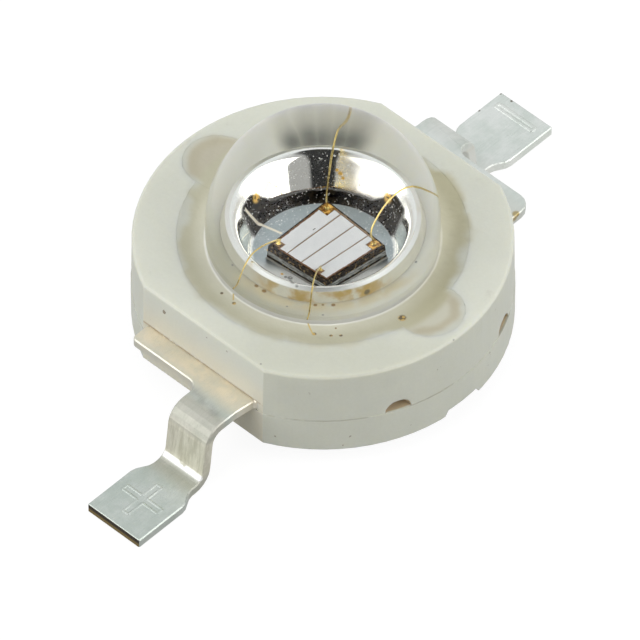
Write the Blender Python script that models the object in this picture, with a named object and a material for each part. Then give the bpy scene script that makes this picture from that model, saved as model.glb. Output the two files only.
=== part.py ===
"""Domed high-power ultraviolet LED emitter.

A round moulded body with two flats holds a silver-plated heat slug, whose top is a
reflector cup, and two gull-wing leads. A square chip sits in the cup and four gold
wires join it to the leads. Clear silicone fills the body under a clear dome.

Axes: X runs along the leads with the anode at -X, Z is up, and the origin is at the
middle of the footprint, on the plane of the solder lands.
"""

from math import acos, asin, atan2, cos, pi, radians, sin, sqrt, tan

import bmesh
import bpy
from mathutils import Vector

MM = 0.001

# Fits
CLEARANCE = 0.005 * MM          # gap left between faces that touch on the real part
WELD = 0.0001 * MM              # points nearer than this are one point
CUT_OVERRUN = 1.0 * MM          # a cutter runs this far past the face it opens
JOIN_OVERLAP = 0.1 * MM         # joined or cut shapes run this far into each other

# Heights
BODY_BOTTOM_Z = 0.40 * MM
BODY_TOP_Z = 2.66 * MM
LEAD_TOP_Z = 1.56 * MM          # upper face of both leads, in the body and just outside
CUP_RISE = 0.22 * MM            # rim of the cup above the body's top
LENS_SINK = 0.10 * MM           # foot of the lens below the body's top
LENS_SKIRT = 0.52 * MM          # straight part of the lens below its dome
WIRE_PASSAGE = 0.09 * MM        # height left for the wires between ring and lens
SEAT_RING_RISE = 0.11 * MM      # the ring's top climbs this much to the slug's post
CHANNEL_COVER = 0.45 * MM       # plastic left over the leads
FILL_NOTCH_RISE = 0.17 * MM     # floor of a filling notch above the channel's floor

# Chip
CHIP_SIDE = 1.12 * MM
CHIP_HEIGHT = 0.20 * MM
CHIP_CENTRE = (0.02 * MM, -0.05 * MM)
CHIP_TURN = radians(-1.4)
CHIP_SHELF = 0.03 * MM          # substrate left uncovered round the mesa
MESA_HEIGHT = 0.018 * MM
TRENCH_WIDTH = 0.021 * MM
TRENCH_COUNT = 3
TRENCH_END_GAP = 0.02 * MM      # mesa left uncut at the far end of a trench
CONTACT_PAD_SIDE = 0.15 * MM
CONTACT_HEIGHT = 0.012 * MM
CONTACT_BAR_WIDTH = 0.016 * MM
P_PAD_SIDE = 0.09 * MM
P_PAD_MARGIN = 0.02 * MM        # mesa left outside a P pad
P_PAD_SHIFT = 0.13 * MM         # the right P pad is this much further from its corner
ATTACH_HEIGHT = 0.02 * MM
ATTACH_MARGIN = 0.012 * MM

# Widths from the chip outwards
CUP_FLOOR_MARGIN = 0.159 * MM   # floor of the cup beyond the chip's corners
CUP_WALL_RUN = 0.25 * MM        # width of the sloping mirror wall
CUP_RIM_WIDTH = 0.13 * MM
CUP_RIM_FLAT = 2 / 3            # share of the rim that is level, the rest slopes in
CUP_RIM_CHAMFER = 0.055 * MM
SEAT_CONE_WIDTH = 0.464 * MM    # sloping part of the seat ring, next to the slug's post
SEAT_RING_WIDTH = 0.36 * MM     # its level part
LENS_OVERHANG = 0.26 * MM       # lens beyond the ring
FILL_GAP = 0.60 * MM            # filling that shows between lens and body
BODY_RIM_WIDTH = 0.97 * MM
BODY_FLAT_DEPTH = 0.39 * MM     # cut off the round body at each flat

# Radii and heights that follow from them
CUP_FLOOR_RADIUS = CHIP_SIDE * sqrt(0.5) + CUP_FLOOR_MARGIN
CUP_LIP_RADIUS = CUP_FLOOR_RADIUS + CUP_WALL_RUN
CUP_RIM_RADIUS = CUP_LIP_RADIUS + CUP_RIM_WIDTH
SLUG_POST_RADIUS = CUP_RIM_RADIUS + CUP_RIM_CHAMFER
SEAT_CONE_RADIUS = SLUG_POST_RADIUS + SEAT_CONE_WIDTH
SEAT_RING_RADIUS = SEAT_CONE_RADIUS + SEAT_RING_WIDTH
DOME_RADIUS = SEAT_RING_RADIUS + LENS_OVERHANG
RECESS_RADIUS = DOME_RADIUS + FILL_GAP
BODY_RADIUS = RECESS_RADIUS + BODY_RIM_WIDTH
BODY_FLAT_X = BODY_RADIUS - BODY_FLAT_DEPTH
MESA_SIDE = CHIP_SIDE - 2 * CHIP_SHELF
CUP_RIM_Z = BODY_TOP_Z + CUP_RISE
LENS_BASE_Z = BODY_TOP_Z - LENS_SINK
DOME_CENTRE_Z = LENS_BASE_Z + LENS_SKIRT
SEAT_RING_TOP_Z = LENS_BASE_Z - WIRE_PASSAGE
CHANNEL_FLOOR_Z = LEAD_TOP_Z + CHANNEL_COVER
FILL_NOTCH_FLOOR_Z = CHANNEL_FLOOR_Z + FILL_NOTCH_RISE

# Moulded body
PARTING_STEP = 0.012 * MM       # the upper half is this much smaller all round
UPPER_DRAFT = 0.02 * MM         # lean of the upper wall over its height
TOP_EDGE_ROUND = 0.07 * MM
BOTTOM_EDGE_CHAMFER = 0.05 * MM
FILL_NOTCH_RADIUS = 0.74 * MM
WINDOW_SIDE_MARGIN = 0.08 * MM  # the window over a lead is this much narrower
WINDOW_WALL_MARGIN = 0.12 * MM  # and stops this far short of the recess wall
WINDOW_RING_MARGIN = 0.03 * MM
SIDE_SLOT_X = 1.6 * MM
SIDE_SLOT_RADIUS = 0.28 * MM
SIDE_SLOT_DEPTH = 0.25 * MM
FOOT_NOTCH_TOP_WIDTH = 0.84 * MM
FOOT_NOTCH_FOOT_WIDTH = 1.2 * MM
FOOT_NOTCH_HEIGHT = 0.2 * MM
FOOT_NOTCH_DEPTH = 0.3 * MM

# Heat slug
SLUG_BASE_WALL = 1.14 * MM      # body left outside the slug's base
SLUG_BASE_TOP_Z = 0.8 * MM
SLUG_SHOULDER_STEP = 0.7 * MM
SLUG_SHOULDER_TOP_Z = 1.02 * MM
SLUG_CHAMFER = 0.08 * MM
CUP_DEPTH = 0.49 * MM
CUP_LIP_DROP = 0.06 * MM
CUP_FILLET = 0.06 * MM          # between the mirror wall and the floor

# Leads
LEAD_THICKNESS = 0.23 * MM
LEAD_INNER_ANGLE = radians(57)  # half the opening of the hollow inner end
LEAD_SHOULDER_DEPTH = {"anode": 0.48 * MM, "cathode": 0.80 * MM}
LEAD_WING_EXTRA = {"anode": 0.05 * MM, "cathode": 0.32 * MM}
LEAD_WING_CORNER = {"anode": 0.12 * MM, "cathode": 0.34 * MM}
LEAD_NECK_CORNER = 0.24 * MM
LEAD_NECK_WIDTH = 1.11 * MM
LEAD_ROOT_FLARE = 0.06 * MM
LEAD_BEND_OFFSET = 0.92 * MM    # from the body's flat to the start of the first bend
LEAD_BEND_RADIUS = 0.36 * MM
LEAD_RISER_ANGLE = radians(83)
LEAD_TAPER_GAP = 0.10 * MM
LEAD_TAPER_LENGTH = 0.48 * MM
LEAD_FOOT_LENGTH = 1.88 * MM
LEAD_FOOT_WIDTH = 1.49 * MM
LEAD_FOOT_Y = 0.876 * MM        # middle of neck and foot, to one side of the axis
LEAD_EDGE_BREAK = 0.025 * MM

# Bond wires
WIRE_RADIUS = 0.014 * MM
BALL_RADIUS = 0.038 * MM
BALL_HEIGHT = 0.025 * MM
BALL_RINGS = ((0.0, 0.8), (0.35, 1.0), (0.75, 0.8))   # shares of its height and radius
WIRE_HEADINGS = (35, -14, 171, 215)     # direction of each landing, in degrees
WIRE_RISE = {"n": 0.31 * MM, "p": 0.07 * MM}        # straight part above the chip
WIRE_LOOP_RISE = {"n": 0.39 * MM, "p": 0.05 * MM}   # top of a wire above the cup's rim
WIRE_EDGE_RISE = {"n": 0.33 * MM, "p": 0.06 * MM}   # the same where it leaves the cup
WIRE_PEAK_SHARE = 0.72          # how far out the top is, as a share of the post's radius
WIRE_CAVITY_MARGIN = 0.1 * MM   # a wire dips under the lens this far before its wall
WIRE_SWAY = (0.45, 0.2)         # shares of the passage it goes in high and comes out low
WIRE_LANDING_MARGIN = 0.13 * MM
WIRE_STITCH_LENGTH = 0.12 * MM

# Lens and filling
DOME_WALL = 0.5 * MM
LENS_EDGE_CHAMFER = 0.02 * MM
GEL_EDGE_RISE = 0.085 * MM      # the filling climbs this much up the recess wall
GEL_DIP = 0.03 * MM

# Facets
BODY_STEPS = 28                 # along each long side of the body
EDGE_ROUND_STEPS = 3
TURN_STEPS = 56
DOME_STEPS = 60
DOME_RINGS = 14
CAVITY_RINGS = 6
SMALL_STEPS = 20
ARC_STEPS = 8
CORNER_STEPS = 4
TAPER_STEPS = 4
BEND_STEPS = 5
FILLET_STEPS = 3
WIRE_SIDES = 6
WIRE_STEPS = 4                  # between two guide points
SMOOTH_ANGLE = radians(35)      # edges sharper than this are shaded as creases
BEVEL_ANGLE = radians(50)       # edges of a lead sharper than this are broken


# Mesh helpers


def material(name, colour, roughness, metallic=0.0, transmission=0.0):
    mat = bpy.data.materials.new(name)
    mat.use_nodes = True
    shader = mat.node_tree.nodes["Principled BSDF"]
    shader.inputs["Base Color"].default_value = (*colour, 1.0)
    shader.inputs["Roughness"].default_value = roughness
    shader.inputs["Metallic"].default_value = metallic
    shader.inputs["Transmission Weight"].default_value = transmission
    mat.diffuse_color = (*colour, 1.0)
    return mat


def finish_object(name, bm, mat=None):
    """Turn a bmesh into an object whose faces point outwards."""
    bmesh.ops.remove_doubles(bm, verts=bm.verts, dist=WELD)
    bmesh.ops.recalc_face_normals(bm, faces=bm.faces)
    mesh = bpy.data.meshes.new(name)
    bm.to_mesh(mesh)
    bm.free()
    mesh.shade_smooth()
    mesh.set_sharp_from_angle(angle=SMOOTH_ANGLE)
    if mat is not None:
        mesh.materials.append(mat)
    obj = bpy.data.objects.new(name, mesh)
    bpy.context.scene.collection.objects.link(obj)
    return obj


def as_cutter(obj):
    obj.hide_render = True
    obj.display_type = "WIRE"
    return obj


def boolean(obj, tool, operation="DIFFERENCE"):
    mod = obj.modifiers.new(operation.lower() + "_" + tool.name, "BOOLEAN")
    mod.operation = operation
    mod.solver = "EXACT"
    mod.object = as_cutter(tool)
    return mod


def turned(name, profile, mat=None, steps=TURN_STEPS):
    """Spin a chain of (radius, z) points round Z. Its ends lie on the axis."""
    bm = bmesh.new()
    verts = [bm.verts.new((r, 0.0, z)) for r, z in profile]
    edges = [bm.edges.new(pair) for pair in zip(verts, verts[1:])]
    bmesh.ops.spin(bm, geom=verts + edges, axis=(0, 0, 1), cent=(0, 0, 0),
                   angle=2 * pi, steps=steps, use_duplicate=False)
    return finish_object(name, bm, mat)


def plate(name, outline, low_z, high_z, mat=None):
    """Extrude a flat (x, y) outline from low_z to high_z."""
    bm = bmesh.new()
    face = bm.faces.new([bm.verts.new((x, y, low_z)) for x, y in outline])
    raised = bmesh.ops.extrude_face_region(bm, geom=[face])
    top = [item for item in raised["geom"] if isinstance(item, bmesh.types.BMVert)]
    bmesh.ops.translate(bm, verts=top, vec=(0, 0, high_z - low_z))
    return finish_object(name, bm, mat)


def lofted(name, rings, mat=None):
    """Skin a list of closed rings that all have the same number of points."""
    bm = bmesh.new()
    loops = [[bm.verts.new(point) for point in ring] for ring in rings]
    for lower, upper in zip(loops, loops[1:]):
        count = len(lower)
        for i in range(count):
            j = (i + 1) % count
            bm.faces.new((lower[i], lower[j], upper[j], upper[i]))
    bm.faces.new(reversed(loops[0]))
    bm.faces.new(loops[-1])
    return finish_object(name, bm, mat)


def arc(centre, radius, start, end, steps):
    """Points on a circle from one angle to another, both ends included."""
    cx, cy = centre
    span = end - start
    return [(cx + radius * cos(start + span * i / steps),
             cy + radius * sin(start + span * i / steps)) for i in range(steps + 1)]


def rectangle(low_x, high_x, low_y, high_y):
    return [(low_x, low_y), (high_x, low_y), (high_x, high_y), (low_x, high_y)]


# Body


def body_outline(inset):
    """Circle with two flats, moved inwards by inset."""
    radius = BODY_RADIUS - inset
    corner = acos((BODY_FLAT_X - inset) / radius)
    far_side = arc((0, 0), radius, corner, pi - corner, BODY_STEPS)
    near_side = arc((0, 0), radius, pi + corner, 2 * pi - corner, BODY_STEPS)
    return far_side + near_side


def parting_z():
    """The mould opens level with the underside of the leads."""
    return LEAD_TOP_Z - LEAD_THICKNESS


def body_levels():
    """Inset and height of each ring of the outer wall, from the bottom up."""
    levels = [(BOTTOM_EDGE_CHAMFER, BODY_BOTTOM_Z),
              (0.0, BODY_BOTTOM_Z + BOTTOM_EDGE_CHAMFER),
              (0.0, parting_z()),
              (PARTING_STEP, parting_z())]
    wall = PARTING_STEP + UPPER_DRAFT
    for i in range(EDGE_ROUND_STEPS + 1):
        turn = i / EDGE_ROUND_STEPS * pi / 2
        levels.append((wall + TOP_EDGE_ROUND * (1 - cos(turn)),
                       BODY_TOP_Z - TOP_EDGE_ROUND * (1 - sin(turn))))
    return levels


def slug_radii():
    """Radius of the slug's base and of its shoulder."""
    base = BODY_RADIUS - SLUG_BASE_WALL
    return base, base - SLUG_SHOULDER_STEP


def body_core_profile():
    """Everything turned out of the body: recess, channel and slug seat."""
    above = BODY_TOP_Z + CUT_OVERRUN
    base, shoulder = slug_radii()
    return [(0, above),
            (RECESS_RADIUS, above),
            (RECESS_RADIUS, CHANNEL_FLOOR_Z),
            (SEAT_RING_RADIUS, CHANNEL_FLOOR_Z),
            (SEAT_RING_RADIUS, SEAT_RING_TOP_Z),
            (SEAT_CONE_RADIUS, SEAT_RING_TOP_Z),
            (SLUG_POST_RADIUS + CLEARANCE, SEAT_RING_TOP_Z + SEAT_RING_RISE),
            (SLUG_POST_RADIUS + CLEARANCE, SLUG_SHOULDER_TOP_Z + CLEARANCE),
            (shoulder + CLEARANCE, SLUG_SHOULDER_TOP_Z + CLEARANCE),
            (shoulder + CLEARANCE, SLUG_BASE_TOP_Z + CLEARANCE),
            (base + CLEARANCE, SLUG_BASE_TOP_Z + CLEARANCE),
            (base + CLEARANCE, -CUT_OVERRUN),
            (0, -CUT_OVERRUN)]


def plate_half_width():
    """Half the width of a lead's plate inside the body."""
    return SEAT_CONE_RADIUS * sin(LEAD_INNER_ANGLE)


def window_outline(grow):
    """The part of the channel's floor that is open over a lead's inner pad."""
    half = plate_half_width() - WINDOW_SIDE_MARGIN + grow
    outer = RECESS_RADIUS - WINDOW_WALL_MARGIN + grow
    inner = SEAT_RING_RADIUS + WINDOW_RING_MARGIN - grow
    outer_angle = asin(half / outer)
    inner_angle = asin(half / inner)
    return (arc((0, 0), outer, -outer_angle, outer_angle, ARC_STEPS)
            + arc((0, 0), inner, inner_angle, -inner_angle, ARC_STEPS))


def mirrored(outline, side):
    """Turn an outline half a turn about Z for the other side of the part."""
    return [(side * x, side * y) for x, y in outline]


def side_slot(name, side_x, side_y):
    """Half-moon pocket that stands on the parting line, cut in from the round wall."""
    wall_y = sqrt(BODY_RADIUS ** 2 - SIDE_SLOT_X ** 2)
    moon = arc((side_x * SIDE_SLOT_X, parting_z()), SIDE_SLOT_RADIUS, 0, pi, ARC_STEPS)
    return lofted(name, [[(x, side_y * (wall_y + depth), z) for x, z in moon]
                         for depth in (-SIDE_SLOT_DEPTH, CUT_OVERRUN)])


def foot_notch(name, side_y):
    """Notch with sloping ends in the body's lower edge."""
    low_z = BODY_BOTTOM_Z - JOIN_OVERLAP
    high_z = BODY_BOTTOM_Z + FOOT_NOTCH_HEIGHT
    foot, top = 0.5 * FOOT_NOTCH_FOOT_WIDTH, 0.5 * FOOT_NOTCH_TOP_WIDTH
    section = [(-foot, low_z), (foot, low_z), (top, high_z), (-top, high_z)]
    return lofted(name, [[(x, side_y * (BODY_RADIUS + depth), z) for x, z in section]
                         for depth in (-FOOT_NOTCH_DEPTH, CUT_OVERRUN)])


def fill_notch(name, side_y, shrink, low_z, high_z):
    """Round lobe of the recess, centred on the recess wall."""
    outline = arc((0, side_y * RECESS_RADIUS), FILL_NOTCH_RADIUS - shrink,
                  0, 2 * pi, SMALL_STEPS)[:-1]
    return plate(name, outline, low_z, high_z)


def build_housing(mat):
    rings = [[(x, y, z) for x, y in body_outline(inset)] for inset, z in body_levels()]
    housing = lofted("housing", rings, mat)
    boolean(housing, turned("core_cutter", body_core_profile()))
    for side in (-1, 1):
        tag = "anode" if side < 0 else "cathode"
        boolean(housing, fill_notch("fill_notch_cutter_" + tag, side, 0.0,
                                    FILL_NOTCH_FLOOR_Z, BODY_TOP_Z + CUT_OVERRUN))
        boolean(housing, plate("window_cutter_" + tag, mirrored(window_outline(0), side),
                               LEAD_TOP_Z, CHANNEL_FLOOR_Z + JOIN_OVERLAP))
        boolean(housing, lead_slot_cutter("slot_cutter_" + tag, side))
        boolean(housing, foot_notch("foot_notch_cutter_" + tag, side))
        for side_x in (-1, 1):
            slot_name = "side_slot_cutter_" + tag + ("_a" if side_x < 0 else "_b")
            boolean(housing, side_slot(slot_name, side_x, side))
    return housing


# Heat slug


def cup_profile(gap):
    """Mirror cup from its rim in to the axis, moved off the metal by gap."""
    floor_z = CUP_RIM_Z - CUP_DEPTH + gap
    slope = atan2(CUP_DEPTH - CUP_LIP_DROP, CUP_WALL_RUN)
    centre = (CUP_FLOOR_RADIUS - gap - CUP_FILLET * tan(0.5 * slope), floor_z + CUP_FILLET)
    fillet = arc(centre, CUP_FILLET, slope - 0.5 * pi, -0.5 * pi, FILLET_STEPS)
    return [(CUP_RIM_RADIUS + gap, CUP_RIM_Z + gap),
            (CUP_RIM_RADIUS - CUP_RIM_FLAT * CUP_RIM_WIDTH - gap, CUP_RIM_Z + gap),
            (CUP_LIP_RADIUS - gap, CUP_RIM_Z - CUP_LIP_DROP + gap),
            *fillet,
            (0, floor_z)]


def build_heat_slug(mat):
    base, shoulder = slug_radii()
    profile = cup_profile(0.0)[::-1] + [
        (SLUG_POST_RADIUS, CUP_RIM_Z - CUP_RIM_CHAMFER),
        (SLUG_POST_RADIUS, SLUG_SHOULDER_TOP_Z),
        (shoulder, SLUG_SHOULDER_TOP_Z),
        (shoulder, SLUG_BASE_TOP_Z),
        (base, SLUG_BASE_TOP_Z),
        (base, SLUG_CHAMFER),
        (base - SLUG_CHAMFER, 0),
        (0, 0)]
    return turned("heat_slug", profile, mat)


# Leads


def inner_end(grow):
    """Hollow end of the plate, an arc that stays clear of the slug."""
    radius = SEAT_CONE_RADIUS - grow
    start = asin((plate_half_width() + grow) / radius)
    return arc((0, 0), radius, start, -start, ARC_STEPS)


def lead_slot_cutter(name, side):
    """Room for a lead in the body: its plate with the clearance all round."""
    low_y = -plate_half_width() - CLEARANCE
    outline = inner_end(CLEARANCE) + [(BODY_RADIUS, low_y), (BODY_RADIUS, -low_y)]
    return plate(name, mirrored(outline, side),
                 LEAD_TOP_Z - LEAD_THICKNESS - CLEARANCE, LEAD_TOP_Z + CLEARANCE)


def bend_lengths():
    """Distances along the flat blank at which the two bends start and end."""
    foot_z = 0.5 * LEAD_THICKNESS
    drop = LEAD_TOP_Z - 0.5 * LEAD_THICKNESS - foot_z
    straight = (drop - 2 * LEAD_BEND_RADIUS * (1 - cos(LEAD_RISER_ANGLE)))
    straight /= sin(LEAD_RISER_ANGLE)
    bend = LEAD_BEND_RADIUS * LEAD_RISER_ANGLE
    first = BODY_FLAT_X + LEAD_BEND_OFFSET
    return first, first + bend, first + bend + straight, first + 2 * bend + straight


def bent(along, height):
    """Place of a blank's point once the blank is bent. Height is from its middle."""
    first, first_end, second, second_end = bend_lengths()
    x = min(along, first)
    z = LEAD_TOP_Z - 0.5 * LEAD_THICKNESS
    turn = 0.0
    if along > first:
        turn = (min(along, first_end) - first) / LEAD_BEND_RADIUS
        x += LEAD_BEND_RADIUS * sin(turn)
        z -= LEAD_BEND_RADIUS * (1 - cos(turn))
    if along > first_end:
        run = min(along, second) - first_end
        x += run * cos(LEAD_RISER_ANGLE)
        z -= run * sin(LEAD_RISER_ANGLE)
    if along > second:
        back = (min(along, second_end) - second) / LEAD_BEND_RADIUS
        turn = LEAD_RISER_ANGLE - back
        x += LEAD_BEND_RADIUS * (sin(LEAD_RISER_ANGLE) - sin(turn))
        z -= LEAD_BEND_RADIUS * (cos(turn) - cos(LEAD_RISER_ANGLE))
    if along > second_end:
        x += along - second_end
    return x + height * sin(turn), z + height * cos(turn)


def taper(start, low, high):
    """Soft step in an edge of the blank, from one Y to another."""
    return [(start + LEAD_TAPER_LENGTH * i / TAPER_STEPS,
             low + (high - low) * 0.5 * (1 - cos(pi * i / TAPER_STEPS)))
            for i in range(TAPER_STEPS + 1)]


def lead_blank(tag):
    """Flat outline of a lead before bending, as (along, y) points."""
    second_end = bend_lengths()[3]
    start = second_end + LEAD_TAPER_GAP
    tip = second_end + LEAD_FOOT_LENGTH
    foot_low = LEAD_FOOT_Y - 0.5 * LEAD_FOOT_WIDTH
    foot_high = LEAD_FOOT_Y + 0.5 * LEAD_FOOT_WIDTH
    neck_low = LEAD_FOOT_Y - 0.5 * LEAD_NECK_WIDTH
    neck_high = LEAD_FOOT_Y + 0.5 * LEAD_NECK_WIDTH
    wall = BODY_FLAT_X + CLEARANCE
    shoulder = BODY_FLAT_X + LEAD_SHOULDER_DEPTH[tag]
    wing = -plate_half_width() - LEAD_WING_EXTRA[tag]
    outer, inner = LEAD_WING_CORNER[tag], LEAD_NECK_CORNER
    return (inner_end(0) + [(wall, -plate_half_width()), (wall, wing)]
            + arc((shoulder - outer, wing + outer), outer, -pi / 2, 0, CORNER_STEPS)
            + arc((shoulder + inner, neck_low - inner), inner, pi, pi / 2, CORNER_STEPS)
            + taper(start, neck_low, foot_low) + [(tip, foot_low), (tip, foot_high)]
            + taper(start, neck_high, foot_high)[::-1]
            + [(shoulder, neck_high), (wall, neck_high + LEAD_ROOT_FLARE),
               (wall, plate_half_width())])


def build_lead(tag, side, mat):
    """Cut a flat blank, score it across the bends and fold it to shape."""
    half = 0.5 * LEAD_THICKNESS
    bm = bmesh.new()
    face = bm.faces.new([bm.verts.new((x, y, -half)) for x, y in lead_blank(tag)])
    raised = bmesh.ops.extrude_face_region(bm, geom=[face])
    top = [item for item in raised["geom"] if isinstance(item, bmesh.types.BMVert)]
    bmesh.ops.translate(bm, verts=top, vec=(0, 0, LEAD_THICKNESS))
    first, first_end, second, second_end = bend_lengths()
    for start, end in ((first, first_end), (second, second_end)):
        for i in range(BEND_STEPS + 1):
            along = start + (end - start) * i / BEND_STEPS
            bmesh.ops.bisect_plane(bm, geom=bm.verts[:] + bm.edges[:] + bm.faces[:],
                                   plane_co=(along, 0, 0), plane_no=(1, 0, 0), dist=WELD)
    for vert in bm.verts:
        x, z = bent(vert.co.x, vert.co.z)
        vert.co = Vector((side * x, side * vert.co.y, z))
    lead = finish_object(tag + "_lead", bm, mat)
    bevel = lead.modifiers.new("edge_break", "BEVEL")
    bevel.width = LEAD_EDGE_BREAK
    bevel.segments = 1
    bevel.limit_method = "ANGLE"
    bevel.angle_limit = BEVEL_ANGLE
    return lead


# Chip


def chip_base_z():
    return CUP_RIM_Z - CUP_DEPTH + ATTACH_HEIGHT + 2 * CLEARANCE


def chip_shelf_z():
    """Top of the chip's substrate, on which the mesa stands."""
    return chip_base_z() + CHIP_HEIGHT


def chip_point(x, y):
    """Place on the part of a point given on the chip."""
    return (CHIP_CENTRE[0] + x * cos(CHIP_TURN) - y * sin(CHIP_TURN),
            CHIP_CENTRE[1] + x * sin(CHIP_TURN) + y * cos(CHIP_TURN))


def on_chip(outline):
    return [chip_point(x, y) for x, y in outline]


def trench_lines():
    """Y of the middle of each trench on the chip."""
    pitch = MESA_SIDE / (TRENCH_COUNT + 1)
    return [-0.5 * MESA_SIDE + pitch * (i + 1) for i in range(TRENCH_COUNT)]


def mesa_outline():
    """Light-emitting mesa: a square with a pad at two corners cut away, and trenches."""
    half = 0.5 * MESA_SIDE
    pad = CONTACT_PAD_SIDE + 2 * CLEARANCE
    far = -half + TRENCH_END_GAP
    slot = 0.5 * TRENCH_WIDTH
    edge = half - CONTACT_BAR_WIDTH - 2 * CLEARANCE
    points = [(-half, -half), (half - pad, -half), (half - pad, -half + pad),
              (edge, -half + pad)]
    for y in trench_lines():
        points += [(edge, y - slot), (far, y - slot), (far, y + slot), (edge, y + slot)]
    return points + [(edge, half - pad), (half - pad, half - pad), (half - pad, half),
                     (-half, half)]


def contact_outline():
    """N contact: a bar with a pad at each end and a finger in each trench."""
    half = 0.5 * MESA_SIDE
    pad = CONTACT_PAD_SIDE
    inner = half - CONTACT_BAR_WIDTH
    far = -half + TRENCH_END_GAP + CLEARANCE
    slot = 0.5 * TRENCH_WIDTH - CLEARANCE
    points = [(half, half), (half - pad, half), (half - pad, half - pad),
              (inner, half - pad)]
    for y in reversed(trench_lines()):
        points += [(inner, y + slot), (far, y + slot), (far, y - slot), (inner, y - slot)]
    return points + [(inner, -half + pad), (half - pad, -half + pad), (half - pad, -half),
                     (half, -half)]


def build_die_attach(mat):
    low = CUP_RIM_Z - CUP_DEPTH + CLEARANCE
    rings = []
    for margin, z in ((ATTACH_MARGIN, low), (0.0, low + ATTACH_HEIGHT)):
        half = 0.5 * CHIP_SIDE + margin
        rings.append([(x, y, z) for x, y in on_chip(rectangle(-half, half, -half, half))])
    return lofted("die_attach", rings, mat)


def build_chip(mat):
    half = 0.5 * CHIP_SIDE
    shelf = chip_shelf_z()
    chip = plate("led_chip", on_chip(rectangle(-half, half, -half, half)),
                 chip_base_z(), shelf, mat)
    mesa = plate("mesa_joiner", on_chip(mesa_outline()), shelf - 0.5 * CHIP_HEIGHT,
                 shelf + MESA_HEIGHT)
    boolean(chip, mesa, "UNION")
    return chip


def build_contacts(mat):
    low = chip_shelf_z() + CLEARANCE
    plate("n_contact", on_chip(contact_outline()), low, low + CONTACT_HEIGHT, mat)
    low = chip_shelf_z() + MESA_HEIGHT + CLEARANCE
    half = 0.5 * P_PAD_SIDE
    for tag, (x, y) in p_pad_centres().items():
        outline = on_chip(rectangle(x - half, x + half, y - half, y + half))
        plate("p_pad_" + tag, outline, low, low + CONTACT_HEIGHT, mat)


def p_pad_centres():
    """Middle of each P pad on the chip, by name."""
    corner = 0.5 * (MESA_SIDE - P_PAD_SIDE) - P_PAD_MARGIN
    return {"left": (-corner, corner), "right": (-corner, P_PAD_SHIFT - corner)}


# Bond wires


def wire_ends():
    """Name, start on the chip, kind of pad and direction of the landing."""
    n_top = chip_shelf_z() + 2 * CLEARANCE + CONTACT_HEIGHT
    p_top = n_top + MESA_HEIGHT
    corner = 0.5 * (MESA_SIDE - CONTACT_PAD_SIDE)
    pads = p_pad_centres()
    starts = [((corner, corner), n_top, "n"), ((corner, -corner), n_top, "n"),
              (pads["left"], p_top, "p"), (pads["right"], p_top, "p")]
    return [(f"bond_wire_{i + 1}", (*chip_point(*start), top), kind, WIRE_HEADINGS[i])
            for i, (start, top, kind) in enumerate(starts)]


def cavity_base_radius():
    """Radius of the lens's hollow where it opens at the foot of the lens."""
    return sqrt((DOME_RADIUS - DOME_WALL) ** 2 - LENS_SKIRT ** 2)


def wire_route(pad, kind, heading):
    """Guide points of a wire: up from the chip, over the cup and down to the lead."""
    start = Vector(pad)
    flat = Vector((start.x, start.y, 0))
    landing = SEAT_RING_RADIUS + WIRE_LANDING_MARGIN
    landing_z = LEAD_TOP_Z + CLEARANCE + WIRE_RADIUS
    aim = Vector((cos(radians(heading)), sin(radians(heading)), 0)) * landing - flat
    step = aim.normalized()

    def toward(radius, z):
        """A point of the wire's vertical plane at a distance from the axis."""
        half_b = flat.dot(step)
        reach = -half_b + sqrt(half_b ** 2 - flat.length_squared + radius ** 2)
        return flat + step * reach + Vector((0, 0, z))

    middle = 0.5 * (SEAT_RING_TOP_Z + LENS_BASE_Z)
    high, low = [share * WIRE_PASSAGE for share in WIRE_SWAY]
    return [start + Vector((0, 0, BALL_HEIGHT)),
            start + Vector((0, 0, WIRE_RISE[kind])),
            toward(WIRE_PEAK_SHARE * SLUG_POST_RADIUS, CUP_RIM_Z + WIRE_LOOP_RISE[kind]),
            toward(SLUG_POST_RADIUS, CUP_RIM_Z + WIRE_EDGE_RISE[kind]),
            toward(cavity_base_radius() - WIRE_CAVITY_MARGIN, middle + high),
            toward(SEAT_RING_RADIUS, middle - low),
            toward(landing - 2 * WIRE_RADIUS, 0.5 * (middle + landing_z)),
            toward(landing, landing_z + WIRE_RADIUS),
            toward(landing + WIRE_STITCH_LENGTH, landing_z)]


def smooth_curve(points, steps):
    """Catmull-Rom curve through the guide points."""
    ends = [2 * points[0] - points[1]] + points + [2 * points[-1] - points[-2]]
    result = []
    for i in range(1, len(ends) - 2):
        p0, p1, p2, p3 = ends[i - 1:i + 3]
        for k in range(steps):
            t = k / steps
            result.append(0.5 * (2 * p1 + (p2 - p0) * t
                                 + (2 * p0 - 5 * p1 + 4 * p2 - p3) * t * t
                                 + (3 * p1 - p0 - 3 * p2 + p3) * t ** 3))
    result.append(points[-1])
    return result


def swept(name, centres, radii, mat=None):
    """Tube along a line of centres, with its own radius at each one."""
    rings = []
    side = Vector((0, 0, 1)).cross(centres[-1] - centres[0]).normalized()
    for i, centre in enumerate(centres):
        before = centres[max(i - 1, 0)]
        after = centres[min(i + 1, len(centres) - 1)]
        ahead = (after - before).normalized()
        across = (side - ahead * side.dot(ahead)).normalized()
        lift = ahead.cross(across)
        ring = []
        for k in range(WIRE_SIDES):
            turn = 2 * pi * k / WIRE_SIDES
            ring.append(centre + (across * cos(turn) + lift * sin(turn)) * radii[i])
        rings.append(ring)
    return lofted(name, rings, mat)


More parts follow.
